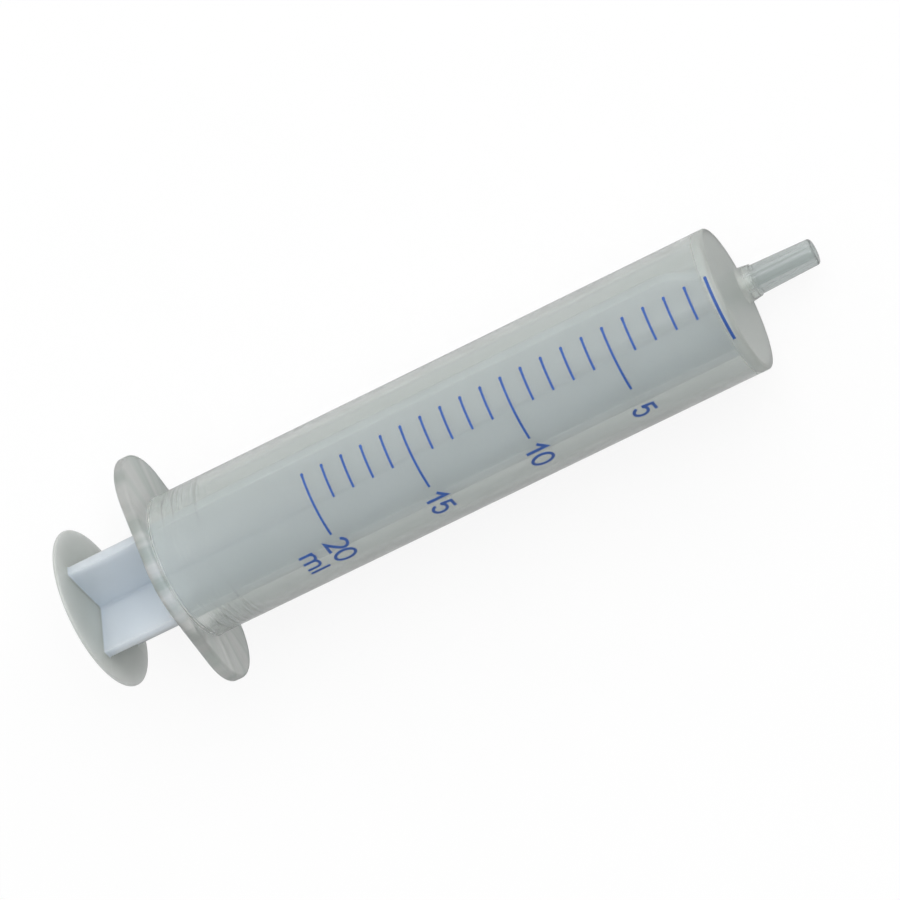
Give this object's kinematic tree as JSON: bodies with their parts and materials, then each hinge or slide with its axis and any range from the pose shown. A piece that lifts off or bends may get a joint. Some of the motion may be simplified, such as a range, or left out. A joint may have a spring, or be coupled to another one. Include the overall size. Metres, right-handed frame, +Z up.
{
  "type": "eccentric tip syringe",
  "caption": "Clear all-plastic syringe with an off-centre slip nozzle, oval finger flange, printed scale and a milky plunger on a cross-shaped rod.",
  "frame": {"origin": "centre of the bounding box at its bottom: under the middle of the syringe's length, on the plane it lies on", "axes": "+X along the barrel from the thumb rest to the nozzle, +Y across the finger flange, +Z up, from the nozzle's side of the barrel towards the printed scale"},
  "size_m": [0.1182, 0.0368, 0.0252],
  "materials": {
    "clear_barrel": "clear natural polypropylene, smooth and glossy, greenish grey at its edges",
    "milky_plunger": "milky translucent polyethylene, smooth, faint blue-grey",
    "blue_ink": "printed blue ink"
  },
  "bodies": {
    "barrel": {"barrel": "clear_barrel", "graduation_marks": "blue_ink"},
    "plunger": {"plunger": "milky_plunger"}
  },
  "joints": [
    {"name": "plunger_slide", "type": "slide", "parent": "barrel", "child": "plunger", "axis": [-1, 0, 0], "range_m": [0, 0.077]}
  ]
}
